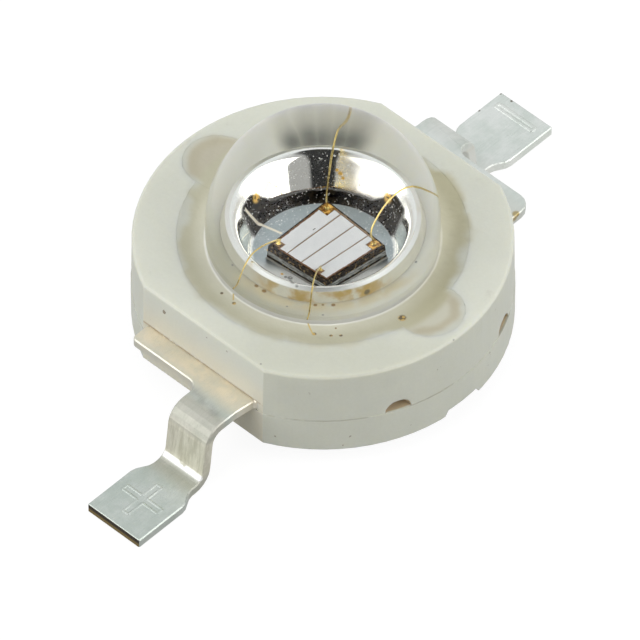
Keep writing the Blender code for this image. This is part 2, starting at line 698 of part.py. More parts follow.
def wire_solid(name, pad, kind, heading, grow, mat=None):
    """One drawn wire with its ball on the chip and its stitch on the lead."""
    curve = smooth_curve(wire_route(pad, kind, heading), WIRE_STEPS)
    foot = Vector(pad)
    centres = [foot + Vector((0, 0, share * BALL_HEIGHT - (0 if share else grow)))
               for share, _ in BALL_RINGS]
    radii = [share * BALL_RADIUS + grow for _, share in BALL_RINGS]
    centres += curve
    radii += [WIRE_RADIUS + grow] * len(curve)
    return swept(name, centres, radii, mat)


# Lens and filling


def dome_arc(radius, end_z, rings):
    """Points of a dome's half section, from its top to the height end_z."""
    last = acos((end_z - DOME_CENTRE_Z) / radius)
    return [(radius * sin(last * i / rings), DOME_CENTRE_Z + radius * cos(last * i / rings))
            for i in range(rings + 1)]


def build_lens(mat):
    outside = dome_arc(DOME_RADIUS, DOME_CENTRE_Z, DOME_RINGS)
    outside += [(DOME_RADIUS, LENS_BASE_Z + LENS_EDGE_CHAMFER),
                (DOME_RADIUS - LENS_EDGE_CHAMFER, LENS_BASE_Z)]
    inside = dome_arc(DOME_RADIUS - DOME_WALL, LENS_BASE_Z, CAVITY_RINGS)
    return turned("lens", outside + inside[::-1], mat, DOME_STEPS)


def gel_profile():
    gap = CLEARANCE
    cavity = dome_arc(DOME_RADIUS - DOME_WALL - gap, LENS_BASE_Z - gap, CAVITY_RINGS)
    return cavity + [
        (DOME_RADIUS, LENS_BASE_Z - gap),
        (0.5 * (DOME_RADIUS + RECESS_RADIUS), LENS_BASE_Z - GEL_DIP),
        (RECESS_RADIUS - gap, LENS_BASE_Z + GEL_EDGE_RISE),
        (RECESS_RADIUS - gap, CHANNEL_FLOOR_Z + gap),
        (SEAT_RING_RADIUS + gap, CHANNEL_FLOOR_Z + gap),
        (SEAT_RING_RADIUS + gap, SEAT_RING_TOP_Z + gap),
        (SEAT_CONE_RADIUS, SEAT_RING_TOP_Z + gap),
        (SLUG_POST_RADIUS + gap, SEAT_RING_TOP_Z + SEAT_RING_RISE + gap),
        (SLUG_POST_RADIUS + gap, CUP_RIM_Z - CUP_RIM_CHAMFER + gap)] + cup_profile(gap)


def chip_room(name):
    """Room in the filling for the chip, its contacts and the die attach."""
    half = 0.5 * CHIP_SIDE + ATTACH_MARGIN + 2 * CLEARANCE
    top = chip_shelf_z() + MESA_HEIGHT + CONTACT_HEIGHT + 3 * CLEARANCE
    return plate(name, on_chip(rectangle(-half, half, -half, half)),
                 CUP_RIM_Z - CUP_DEPTH - JOIN_OVERLAP, top)


def build_silicone_gel(mat):
    gel = turned("silicone_gel", gel_profile(), mat)
    for side in (-1, 1):
        tag = "anode" if side < 0 else "cathode"
        boolean(gel, fill_notch("notch_fill_" + tag, side, CLEARANCE,
                                FILL_NOTCH_FLOOR_Z + CLEARANCE, LENS_BASE_Z - GEL_DIP),
                "UNION")
        boolean(gel, plate("window_fill_" + tag, mirrored(window_outline(-CLEARANCE), side),
                           LEAD_TOP_Z + CLEARANCE, CHANNEL_FLOOR_Z + JOIN_OVERLAP),
                "UNION")
    boolean(gel, chip_room("chip_room_cutter"))
    for name, pad, kind, heading in wire_ends():
        boolean(gel, wire_solid(name + "_cutter", pad, kind, heading, CLEARANCE))
    return gel


# Assembly


def build_part():
    plastic = material("moulded_plastic", (0.62, 0.61, 0.53), 0.45)
    silver = material("silver_plating", (0.78, 0.79, 0.78), 0.22, 1.0)
    gold = material("gold", (0.85, 0.58, 0.22), 0.25, 1.0)
    epoxy = material("silver_epoxy", (0.45, 0.42, 0.38), 0.5, 0.3)
    sapphire = material("chip_crystal", (0.72, 0.71, 0.80), 0.15)
    clear = material("clear_lens", (0.95, 0.96, 0.93), 0.03, 0.0, 0.9)
    filling = material("clear_silicone", (0.90, 0.88, 0.74), 0.1, 0.0, 0.9)
    build_housing(plastic)
    build_heat_slug(silver)
    build_lead("anode", -1, silver)
    build_lead("cathode", 1, silver)
    build_die_attach(epoxy)
    build_chip(sapphire)
    build_contacts(gold)
    for name, pad, kind, heading in wire_ends():
        wire_solid(name, pad, kind, heading, 0.0, gold)
    build_silicone_gel(filling)
    build_lens(clear)


for old in list(bpy.data.objects):
    bpy.data.objects.remove(old, do_unlink=True)
build_part()
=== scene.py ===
from math import acos, asin, atan2, cos, pi, radians, sin, sqrt, tan

import bmesh
import bpy
from mathutils import Matrix, Vector


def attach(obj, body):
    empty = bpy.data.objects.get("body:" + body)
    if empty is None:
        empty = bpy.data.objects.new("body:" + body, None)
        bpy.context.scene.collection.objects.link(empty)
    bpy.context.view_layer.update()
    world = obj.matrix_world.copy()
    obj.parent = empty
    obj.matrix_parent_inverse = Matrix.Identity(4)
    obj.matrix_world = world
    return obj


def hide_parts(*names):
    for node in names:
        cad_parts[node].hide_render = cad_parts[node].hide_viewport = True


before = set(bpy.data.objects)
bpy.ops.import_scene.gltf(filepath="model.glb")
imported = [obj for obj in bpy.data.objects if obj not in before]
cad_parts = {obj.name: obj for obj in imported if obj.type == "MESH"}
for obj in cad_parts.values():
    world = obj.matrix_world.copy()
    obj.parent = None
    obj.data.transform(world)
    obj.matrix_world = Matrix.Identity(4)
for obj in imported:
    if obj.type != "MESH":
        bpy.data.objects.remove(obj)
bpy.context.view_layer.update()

MM = 0.001

# Camera
VIEW_AZIMUTH = radians(46.52)       # turn of the view direction from +Y towards +X
VIEW_ELEVATION = radians(47.84)
VIEW_DISTANCE = 270.3 * MM
VIEW_WIDTH = 13.385 * MM            # width of the picture at the aim point
AIM_HEIGHT = 2.66 * MM
AIM_RIGHT = -0.063 * MM
AIM_UP = -1.7775 * MM
SENSOR_WIDTH = 36.0

# Light
LAMP_DISTANCE = 160 * MM
LAMP_TURN = radians(62)             # to each side of the camera
LAMP_ELEVATION = radians(30)
LAMP_SIZE = (150 * MM, 150 * MM)
LAMP_POWER = 0.127
FLOOR_REACH = 1.0
FLOOR_GLOW = 0.90                   # how bright the floor is where the camera sees it
FLOOR_MIRRORED = (0.55, 0.85)       # and in shiny surfaces, near and far
FLOOR_BOUNCE = 0.3                  # share of light that it sends back up
OVERHEAD_CARD_ELEVATION = radians(68)
OVERHEAD_CARD_REACH = (radians(12), radians(19))   # how far it is full, and how far it fades

# Sizes of what is built again here, within 0.01 mm of the solids
DOME_RADIUS = 2.47 * MM
DOME_CENTRE_Z = 3.08 * MM
CAVITY_RADIUS = 1.97 * MM
LENS_BASE_Z = 2.56 * MM
RECESS_RADIUS = 3.07 * MM
LOBE_RADIUS = 0.74 * MM
LOBE_FLOOR_Z = 2.18 * MM
CHANNEL_FLOOR_Z = 2.01 * MM
RING_CONE_RADIUS = 1.85 * MM
RING_OUTER_RADIUS = 2.21 * MM
RING_TOP_Z = 2.47 * MM
RING_RISE = 0.11 * MM
BOND_RISE = 0.05 * MM               # the filling touches the lens this high up its skirt
LENS_CHAMFER = 0.02 * MM
POST_RADIUS = 1.389 * MM
CUP_RIM_Z = 2.88 * MM
CUP_RIM_RADIUS = 1.331 * MM
CUP_CREST_RADIUS = 1.292 * MM
CUP_LIP_RADIUS = 1.201 * MM
CUP_LIP_Z = 2.82 * MM
CUP_FLOOR_RADIUS = 0.951 * MM
CUP_FLOOR_Z = 2.39 * MM
CUP_FILLET = 0.06 * MM
CUP_RIM_CHAMFER = 0.055 * MM
SLUG_SHOULDER_RADIUS = 2.2 * MM
SLUG_SHOULDER_Z = 1.02 * MM
SLUG_BASE_RADIUS = 2.9 * MM
SLUG_BASE_Z = 0.8 * MM
SLUG_CHAMFER = 0.08 * MM
FOOT_TOP_Z = 0.23 * MM
GAP = 0.004 * MM                    # between the filling and what it touches

# Places that the materials use, in millimetres
RECESS_REACH = RECESS_RADIUS / MM
CUP_FLOOR = CUP_FLOOR_Z / MM
BODY_TOP = 2.66
PARTING = 1.33                      # height of the line between the mould's halves
FLAT_REACH = 1.733                  # half the width of the body's flats
SIDE_SLOT = 1.6                     # how far the side slots lie from the middle
LEAD_TOP = 1.56
LEAD_END = 7.25
CHIP_CENTRE = (0.02, -0.05)
CHIP_TURN = radians(-1.4)
MESA_REACH = 0.53                   # half the mesa's side
MESA_MIDDLE = 2.628                 # halfway up the mesa

# The filling's open surface: out from the lens and up from its foot, then in from the wall and up
MENISCUS = [(-0.012, 0.05), (0.05, 0.025), (0.13, 0.015), (0.27, 0.025), (0.41, 0.055)]
MENISCUS_AT_WALL = [(0.08, 0.080), (0.03, 0.090), (0.0, 0.096)]

# Raised marks on the feet
PLUS_CENTRE = (-6.37 * MM, -0.867 * MM)
PLUS_REACH = 0.50 * MM
PLUS_HALF_WIDTH = 0.075 * MM
PLUS_RIDGE = (0.032 * MM, 0.015 * MM)       # half its width, and its height
MINUS_CENTRE = (6.92 * MM, 0.90 * MM)
MINUS_REACH = 0.52 * MM
MINUS_HALF_WIDTH = 0.058 * MM
MINUS_RIDGE = (0.046 * MM, 0.024 * MM)
RIDGE_SECTION = [(-1.0, 0.0), (-0.6, 0.62), (0.0, 0.9), (0.6, 0.62), (1.0, 0.0), (0.0, -0.5)]
MARK_CORNER = 0.055 * MM
MARK_SMOOTHINGS = 3

# Fineness of the meshes
WELD = 0.0001 * MM
SMOOTH_ANGLE = radians(35)
ROUND_STEPS = 192
DOME_STEPS = 60
CAVITY_STEPS = 40
FILLING_DOME_STEPS = 30
LOBE_EDGE_STEPS = 14
CUP_FILLET_STEPS = 24


# Node helpers


class Nodes:
    """A node tree and short calls that add nodes to it."""

    def __init__(self, tree):
        self.tree = tree

    def add(self, kind):
        return self.tree.nodes.new("ShaderNode" + kind)

    def link(self, source, target):
        self.tree.links.new(source, target)

    def feed(self, socket, value):
        """Link a socket or set its value."""
        if isinstance(value, bpy.types.NodeSocket):
            self.link(value, socket)
        elif isinstance(value, tuple) and socket.type == "RGBA":
            socket.default_value = (*value, 1.0)
        else:
            socket.default_value = value

    def math(self, operation, a, b=0.0, c=0.0, clamp=False):
        node = self.add("Math")
        node.operation = operation
        node.use_clamp = clamp
        for socket, value in zip(node.inputs, (a, b, c)):
            self.feed(socket, value)
        return node.outputs[0]

    def times(self, product, *factors):
        for factor in factors:
            product = self.math("MULTIPLY", product, factor)
        return product

    def linear(self, value, slope, start):
        """slope times value, plus start."""
        return self.math("MULTIPLY_ADD", value, slope, start)

    def unsigned(self, value):
        """The value without its sign."""
        return self.math("ABSOLUTE", value)

    def most(self, a, b):
        return self.math("MAXIMUM", a, b)

    def length(self, a, b):
        """Length of a line that reaches a one way and b square to it."""
        return self.math("SQRT", self.math("ADD", self.times(a, a), self.times(b, b)))

    def smooth(self, value, low, high):
        """0 below low and 1 above high, with a soft step between."""
        node = self.add("MapRange")
        node.interpolation_type = "SMOOTHSTEP"
        self.feed(node.inputs["Value"], value)
        node.inputs["From Min"].default_value = low
        node.inputs["From Max"].default_value = high
        return node.outputs["Result"]

    def fade(self, value, low, high):
        """1 below low and 0 above high."""
        return self.math("SUBTRACT", 1.0, self.smooth(value, low, high))

    def band(self, value, low, high, soft):
        """1 between low and high, fading out over soft at each end."""
        return self.band_between(value, low - soft, low + soft, high - soft, high + soft)

    def band_between(self, value, low, full, ebb, high):
        """0 outside low and high, 1 between full and ebb."""
        return self.times(self.smooth(value, low, full), self.fade(value, ebb, high))

    def mix(self, factor, a, b, blend="MIX"):
        node = self.add("Mix")
        node.data_type = "RGBA"
        node.blend_type = blend
        self.feed(node.inputs[0], factor)
        self.feed(node.inputs[6], a)
        self.feed(node.inputs[7], b)
        return node.outputs[2]

    def tint(self, colour, factor):
        return self.mix(1.0, colour, factor, "MULTIPLY")


class Shade(Nodes):
    """One material, with places on the part in millimetres."""

    def __init__(self, name):
        self.mat = bpy.data.materials.new(name)
        self.mat.use_nodes = True
        super().__init__(self.mat.node_tree)
        self.shader = self.tree.nodes["Principled BSDF"]
        self.output = self.tree.nodes["Material Output"]
        scale = self.add("VectorMath")
        scale.operation = "SCALE"
        scale.inputs["Scale"].default_value = 1 / MM
        self.link(self.add("TexCoord").outputs["Object"], scale.inputs[0])
        self.place = scale.outputs["Vector"]
        parts = self.add("SeparateXYZ")
        self.link(self.place, parts.inputs[0])
        self.x, self.y, self.z = parts.outputs

    def set(self, **values):
        for name, value in values.items():
            self.feed(self.shader.inputs[name.replace("_", " ")], value)

    def noise(self, scale, detail=3.0, roughness=0.5, stretch=None):
        node = self.add("TexNoise")
        node.inputs["Scale"].default_value = scale
        node.inputs["Detail"].default_value = detail
        node.inputs["Roughness"].default_value = roughness
        place = self.place
        if stretch:
            mapping = self.add("Mapping")
            mapping.inputs["Scale"].default_value = stretch
            self.link(place, mapping.inputs["Vector"])
            place = mapping.outputs[0]
        self.link(place, node.inputs["Vector"])
        return node.outputs["Fac"]

    def patches(self, low, high, *noise, **more_noise):
        """Soft-edged patches: 0 where the noise is below low and 1 where it is above high."""
        return self.smooth(self.noise(*noise, **more_noise), low, high)

    def radius(self):
        """Distance from the part's axis."""
        return self.length(self.x, self.y)

    def toward(self):
        """How far a point lies from the axis towards where the photo was taken."""
        return self.linear(self.x, -sin(VIEW_AZIMUTH), self.times(self.y, -cos(VIEW_AZIMUTH)))

    def rightward(self):
        """How far it lies to the right in the photo."""
        return self.linear(self.x, cos(VIEW_AZIMUTH), self.times(self.y, -sin(VIEW_AZIMUTH)))

    def spot(self, centre, radius, soft):
        """1 inside a ball round a point, fading out over that share of its radius."""
        node = self.add("VectorMath")
        node.operation = "DISTANCE"
        self.link(self.place, node.inputs[0])
        node.inputs[1].default_value = centre
        return self.fade(node.outputs["Value"], radius * (1 - soft), radius)

    def spots(self, places, soft=0.5):
        """1 inside any of the balls given as (x, y, z, radius)."""
        total = 0.0
        for x, y, z, radius in places:
            total = self.most(total, self.spot((x, y, z), radius, soft))
        return total

    def stained(self, colour, places, share, tone):
        """A colour with that share of a tone inside the balls."""
        return self.mix(self.times(self.spots(places), share), colour, tone)

    def stroke(self, start, end, width, soft):
        """1 along a straight line seen from above, from one (x, y) to another."""
        run = Vector(end) - Vector(start)
        ux, uy = run.normalized()
        x = self.math("SUBTRACT", self.x, start[0])
        y = self.math("SUBTRACT", self.y, start[1])
        along = self.math("ADD", self.times(x, ux), self.times(y, uy))
        across = self.math("SUBTRACT", self.times(x, uy), self.times(y, ux))
        return self.times(self.band(along, 0.0, run.length, soft),
                          self.band(across, -0.5 * width, 0.5 * width, soft))

    def wetness(self):
        """How far the filling has soaked in, and how much of that is the edge of a lobe."""
        wave = self.math("SUBTRACT", self.noise(0.9), 0.5)
        reach = self.math("ADD", self.radius(), wave)
        from_wall = self.math("SUBTRACT", self.unsigned(self.y), RECESS_REACH)
        lobe = self.linear(wave, 0.6, self.length(self.x, from_wall))
        ring = self.fade(reach, 2.90, 3.16)
        inside = self.fade(lobe, 0.58, 0.80)
        edge = self.times(self.band(lobe, 0.42, 0.66, 0.12), self.smooth(reach, 3.0, 3.3))
        return self.most(ring, inside), edge

    def soaked(self, dry):
        """Body colour where dry, beige where the filling has soaked in."""
        wet, edge = self.wetness()
        reach = self.radius()
        beige = self.mix(self.smooth(reach, 2.55, 2.90), (0.71, 0.69, 0.545), (0.60, 0.575, 0.42))
        # Painted light: a pale band along the foot of the dome
        beige = self.mix(self.smooth(reach, 2.47, 2.52), (0.95, 0.94, 0.86), beige)
        beige = self.mix(self.noise(2.6, 4.0, 0.55), beige, self.tint(beige, (0.86, 0.86, 0.84)))
        beige = self.mix(self.smooth(self.rightward(), 1.2, 2.4), beige,
                         self.tint(beige, (0.90, 0.88, 0.80)))
        lobe = self.mix(self.smooth(self.y, -0.5, 0.5), (0.62, 0.60, 0.48), (0.56, 0.52, 0.395))
        beige = self.mix(self.smooth(reach, 3.05, 3.25), beige, lobe)
        beige = self.mix(edge, beige, (0.53, 0.485, 0.35))
        return self.mix(wet, dry, beige)

    def chip_axes(self):
        """Coordinates on the chip, from its middle."""
        x = self.math("SUBTRACT", self.x, CHIP_CENTRE[0])
        y = self.math("SUBTRACT", self.y, CHIP_CENTRE[1])
        ux, uy = cos(CHIP_TURN), sin(CHIP_TURN)
        along = self.math("ADD", self.times(x, ux), self.times(y, uy))
        across = self.math("SUBTRACT", self.times(y, ux), self.times(x, uy))
        return along, across

    def bump(self, height, distance):
        """Bump of that many millimetres from a height of 0 to 1."""
        node = self.add("Bump")
        node.inputs["Strength"].default_value = 1.0
        node.inputs["Distance"].default_value = distance * MM
        self.feed(node.inputs["Height"], height)
        self.link(node.outputs["Normal"], self.shader.inputs["Normal"])


# Marks in millimetres: a ball is (x, y, z, radius), a line is two (x, y) points. Most are marks of use;
# some are painted shade, a painted shadow and painted reflections, as said at each

BROWN_SPECKS = [(-1.42, 0.13, 2.58, 0.05), (-1.44, -0.04, 2.57, 0.055), (-1.14, -0.90, 2.57, 0.045),
                (-0.93, -1.12, 2.57, 0.05), (-1.05, -0.99, 2.58, 0.035)]
GREY_SPECKS = [(-1.52, -0.58, 2.52, 0.03), (-1.29, -1.22, 2.49, 0.03), (0.70, -1.25, 2.57, 0.03),
               (-1.25, 0.70, 2.57, 0.025), (-3.63, 1.65, 2.66, 0.035), (-3.52, -1.56, 2.66, 0.03),
               (-0.26, -4.00, 2.64, 0.04)]
FILLING_SPECKS = [(-2.59, 0.45, 2.58, 0.045), (-2.62, 0.07, 2.58, 0.055), (-1.67, -1.95, 2.57, 0.03),
                  (-1.90, -2.03, 2.59, 0.05), (-1.76, -2.18, 2.59, 0.05), (-2.10, -1.74, 2.58, 0.06),
                  (-0.52, -2.76, 2.62, 0.12)]
# Painted shade on the plastic beyond the cup, seen through the dome
SHADE_BEHIND_CUP = [(1.60 * cos(radians(turn)), 1.60 * sin(radians(turn)), 2.53, reach)
              for turn, reach in ((33, 0.265), (38, 0.265), (43, 0.265), (48, 0.265), (54, 0.21))]
RIM_STAINS = [(-1.20, -0.45, 2.88, 0.06), (-1.21, -0.55, 2.84, 0.05), (-0.36, -1.34, 2.65, 0.07),
              (-0.634, 0.033, 2.39, 0.05), (-0.69, -0.02, 2.40, 0.04), (-0.66, 0.09, 2.39, 0.03)]
# Gold spots in the cup: painted reflections of the gold pads and a wire on its wall, and three gold
# specks on its floor
GOLD_GLINTS = [(-0.006, 1.114, 2.671, 0.085), (1.103, -0.035, 2.653, 0.09), (0.934, 0.663, 2.724, 0.03),
               (0.945, 0.62, 2.69, 0.04), (0.94, 0.574, 2.648, 0.03), (-0.642, 0.169, 2.39, 0.03),
               (-0.512, -0.157, 2.39, 0.025), (-0.383, 0.605, 2.39, 0.025)]
# A tan line in the cup where a wire shows mirrored: a painted reflection
WIRE_REFLECTION = [((-0.085, 0.94), (-0.031, 0.66)), ((-0.273, 1.10), (-0.085, 0.93))]    # in the cup
LEAD_SPOTS = [(6.53, 1.60, 0.23, 0.04), (3.99, -1.88, 1.53, 0.05), (7.21, 1.61, 0.23, 0.045),
              (7.21, 1.28, 0.23, 0.04), (5.58, 1.06, 0.23, 0.035)]
WING_STAINS = [(3.97, -1.84, 1.56, 0.11), (3.90, -1.93, 1.50, 0.12)]
NECK_SHADOW = ((-4.27, -0.30), (-4.50, -1.25))
SUNK_WIRES = [((-1.98, -1.44), (-2.12, -1.72)), ((-2.36, 0.33), (-2.57, 0.14))]


# Materials


def wall_colour(shade, colour, side, cloud):
    """The body's side, painted darker than the top as shade; its flats are lighter, warmer below, with
    a parting line round.
    """
    colour = shade.mix(side, colour, shade.mix(cloud, (0.585, 0.595, 0.512), (0.648, 0.658, 0.568)))
    flat = shade.times(shade.fade(shade.x, -3.52, -3.48),
                       shade.fade(shade.unsigned(shade.y), FLAT_REACH - 0.01, FLAT_REACH), side)
    colour = shade.mix(flat, colour, (0.69, 0.70, 0.62))
    lower = shade.times(flat, shade.fade(shade.z, LEAD_TOP + 0.04, 2.5), 0.55)
    colour = shade.mix(lower, colour, (0.72, 0.66, 0.51))
    parting = shade.times(shade.band(shade.z, PARTING - 0.014, PARTING + 0.010, 0.004),
                          shade.patches(0.42, 0.56, 1.1, 4.0, 0.6), side, 0.6)
    colour = shade.mix(parting, colour, (0.36, 0.34, 0.28))
    seam = shade.times(flat, shade.band(shade.z, LEAD_TOP - 0.01, LEAD_TOP + 0.04, 0.012),
                       shade.patches(0.35, 0.55, 3.0), 0.7)
    return shade.mix(seam, colour, (0.42, 0.30, 0.16))


def recess_colour(shade, reach, toward):
    """What shows through the dome: pale plastic, as painted light, with amber, a painted reflection,
    close to the slug's post.
    """
    # Painted light: paler to the right and towards the back
    pale = shade.most(shade.smooth(shade.rightward(), -1.6, 1.2), shade.fade(toward, -1.2, 0.2))
    under = shade.mix(pale, (0.66, 0.65, 0.53), (0.99, 0.98, 0.88))
    under = shade.mix(shade.noise(2.4, 4.0), under, shade.tint(under, (0.92, 0.91, 0.87)))
    # Amber near the post's front: a painted reflection of the beige plastic in the post's silver wall
    near_post = shade.times(shade.fade(reach, 1.46, 1.78), shade.patches(0.20, 0.55, 3.5),
                            shade.smooth(toward, 0.4, 1.0))
    return shade.mix(near_post, under, (0.82, 0.74, 0.53))


def plastic_material():
    """Milky white plastic, painted paler under the dome, beige where the filling has soaked it, with
    painted shade.
    """
    shade = Shade("milky_plastic")
    reach, toward = shade.radius(), shade.toward()
    cloud = shade.noise(1.3, 4.0)
    colour = shade.mix(cloud, (0.645, 0.65, 0.56), (0.695, 0.70, 0.605))
    scuffs = shade.patches(0.62, 0.75, 2.0, 5.0, 0.65, stretch=(1.0, 1.0, 5.0))
    colour = shade.mix(shade.times(scuffs, 0.35), colour, (0.50, 0.49, 0.42))
    side = shade.times(shade.fade(shade.z, BODY_TOP - 0.075, BODY_TOP - 0.035),
                       shade.smooth(reach, 3.55, 3.6))
    colour = wall_colour(shade, colour, side, cloud)
    top = shade.smooth(shade.z, BODY_TOP - 0.06, BODY_TOP - 0.02)
    # Painted shade: the top is darker towards the front
    front_shade = shade.times(shade.smooth(toward, 2.2, 3.6), top)
    colour = shade.mix(front_shade, colour, shade.tint(colour, (0.90, 0.90, 0.88)))
    grain = shade.noise(16.0, 3.0, 0.6)
    colour = shade.mix(grain, shade.tint(colour, (0.955, 0.955, 0.95)),
                       shade.tint(colour, (1.04, 1.04, 1.04)))
    fleck = shade.times(shade.patches(0.735, 0.765, 5.0, 2.0), side)
    colour = shade.mix(fleck, colour, (0.30, 0.26, 0.19))
    colour = shade.mix(top, colour, shade.soaked(colour))
    covered = shade.times(shade.fade(reach, RECESS_REACH - 0.01, RECESS_REACH + 0.01),
                          shade.fade(shade.z, BODY_TOP - 0.06, BODY_TOP - 0.04))
    colour = shade.mix(covered, colour, recess_colour(shade, reach, toward))
    slot = shade.times(shade.band(reach, 3.65, 3.995, 0.01),
                       shade.band(shade.z, PARTING - 0.03, PARTING + 0.30, 0.02),
                       shade.band(shade.unsigned(shade.x), SIDE_SLOT - 0.35, SIDE_SLOT + 0.35, 0.02))
    colour = shade.mix(slot, colour, (0.54, 0.45, 0.31))
    # Painted shade behind the cup, soft and streaked
    streak = shade.noise(6.0, 4.0, 0.6, stretch=(1.0, 1.0, 0.2))
    behind_cup_shade = shade.math("MULTIPLY", shade.spots(SHADE_BEHIND_CUP, 0.95), shade.linear(streak, 0.4, 0.68),
                       clamp=True)
    colour = shade.mix(behind_cup_shade, colour, (0.16, 0.165, 0.14))
    colour = shade.stained(colour, BROWN_SPECKS, 0.9, (0.36, 0.20, 0.04))
    colour = shade.stained(colour, GREY_SPECKS, 0.7, (0.22, 0.21, 0.19))
    shade.set(Base_Color=colour, Roughness=0.42, Subsurface_Weight=0.5,
              Subsurface_Scale=0.3 * MM, Subsurface_Radius=(1.0, 0.9, 0.65))
    shade.bump(shade.linear(grain, 0.15, shade.noise(2.2, 2.0)), 0.015)
    return shade.mat


def dark_reflection_band(shade, reach, toward):
    """Where the far side of the cup's wall is painted black as a dark reflection, up to a ragged crest.
    """
    away = shade.math("DIVIDE", toward, shade.most(reach, 0.1))
    crest = shade.linear(shade.smooth(away, -0.86, -0.62), 0.24, CUP_FLOOR + 0.12)
    ragged = shade.linear(shade.noise(9.0, 4.0, 0.6), 0.05, shade.z)
    return shade.times(shade.fade(away, -0.46, -0.36),
                       shade.fade(shade.math("SUBTRACT", ragged, crest), 0.01, 0.05),
                       shade.smooth(reach, 0.905, 0.92), shade.fade(reach, 1.17, 1.19))


def slug_material():
    """Silver that is a mirror on the cup's wall and duller on its floor and its post, with painted
    reflections in the cup.
    """
    shade = Shade("mirror_silver")
    reach, toward, rightward = shade.radius(), shade.toward(), shade.rightward()
    floor = shade.times(shade.fade(reach, 0.90, 0.93),
                        shade.fade(shade.z, CUP_FLOOR + 0.01, CUP_FLOOR + 0.03))
    # Painted reflections on the cup's floor: its front half pale and not metallic, its back half a
    # grey-blue metal
    near = shade.smooth(toward, 0.0, 0.35)
    wall = shade.mix(shade.noise(5.0, 5.0), (0.86, 0.86, 0.84), (0.93, 0.93, 0.91))
    grey_reflection_tone = shade.mix(shade.noise(7.0, 5.0, 0.6), (0.34, 0.39, 0.41), (0.50, 0.55, 0.57))
    lit_reflection_tone = shade.mix(shade.noise(6.0, 4.0, 0.6), (0.86, 0.87, 0.86), (0.99, 0.99, 0.98))
    colour = shade.mix(floor, wall, shade.mix(near, grey_reflection_tone, lit_reflection_tone))
    post = shade.times(shade.smooth(reach, 1.35, 1.37), shade.fade(shade.z, 2.80, 2.84))
    # Amber on the front of the post: a painted reflection of the beige plastic in its wall
    amber = shade.times(shade.smooth(toward, 0.75, 1.2), shade.patches(0.38, 0.62, 3.2),
                        shade.smooth(shade.z, 1.2, 1.5))
    pale = shade.mix(shade.noise(6.0, 4.0), (0.80, 0.79, 0.70), (0.92, 0.91, 0.85))
    colour = shade.mix(post, colour, shade.mix(amber, pale, (0.66, 0.50, 0.22)))
    colour = shade.stained(colour, RIM_STAINS, 0.75, (0.16, 0.15, 0.13))
    dark = dark_reflection_band(shade, reach, toward)
    # Painted dark reflection: near black with brown patches, low on the cup's far wall
    painted_dark_reflection = shade.mix(shade.patches(0.40, 0.62, 16.0, 4.0, 0.65),
                      (0.004, 0.003, 0.002), (0.034, 0.025, 0.014))
    colour = shade.mix(dark, colour, painted_dark_reflection)
    # Painted reflection of a wire: a tan line on the cup's floor and wall
    for line in WIRE_REFLECTION:
        colour = shade.mix(shade.stroke(*line, 0.035, 0.008), colour, (0.90, 0.84, 0.70))
    speck = shade.times(shade.patches(0.645, 0.68, 38.0, 2.0),
                        shade.fade(reach, 1.28, 1.30))
    colour = shade.mix(speck, colour, (0.92, 0.92, 0.90))
    # Painted gold reflections on the cup's wall, with gold specks on its floor
    glint = shade.times(shade.spots(GOLD_GLINTS, 0.6),
                        shade.patches(0.32, 0.5, 24.0, 3.0, 0.6))
    colour = shade.mix(glint, colour, (0.88, 0.56, 0.14))
    rough = shade.linear(shade.noise(22.0, 4.0), 0.07, 0.02)
    beside = shade.most(shade.smooth(rightward, 0.10, 0.30), shade.fade(rightward, -0.80, -0.60))
    worn = shade.times(beside, shade.fade(toward, -0.5, -0.3))
    rough = shade.linear(worn, 0.16, rough)
    rough = shade.linear(floor, shade.linear(near, 0.1, 0.26), rough)
    rough = shade.most(rough, shade.times(shade.smooth(reach, 1.325, 1.335), 0.32))
    rough = shade.linear(dark, 0.10, rough)
    rough = shade.linear(post, 0.4, rough)
    rough = shade.most(rough, shade.times(speck, 0.55))
    rough = shade.most(rough, shade.times(glint, 0.5))
    metal = shade.linear(post, -0.5, shade.math("SUBTRACT", 1.0, shade.times(floor, near)))
    shade.set(Base_Color=colour, Roughness=rough, Specular_IOR_Level=0.15,
              Metallic=shade.times(metal, shade.linear(dark, -0.85, 1.0)))
    streak = shade.noise(14.0, 3.0, 0.55, stretch=(1.0, 1.0, 0.15))
    shade.bump(shade.linear(shade.noise(9.0, 3.0, 0.55), 0.6, streak), 0.0003)
    return shade.mat


def filling_surface():
    """The filling's open surface: milky, so little shows through it."""
    shade = Shade("filling_surface")
    colour = shade.soaked(shade.mix(shade.noise(1.3, 4.0), (0.61, 0.615, 0.53),
                                    (0.66, 0.665, 0.575)))
    amber = shade.mix(shade.patches(0.45, 0.55, 12.0, 2.0),
                      (0.10, 0.06, 0.02), (0.62, 0.40, 0.08))
    colour = shade.stained(colour, FILLING_SPECKS, 0.9, amber)
    for start, end in SUNK_WIRES:
        colour = shade.mix(shade.stroke(start, end, 0.03, 0.012), colour, (0.66, 0.50, 0.16))
    shade.set(Base_Color=colour, Roughness=0.35, Transmission_Weight=0.1)
    shade.bump(shade.noise(1.7), 0.05)
    return shade.mat


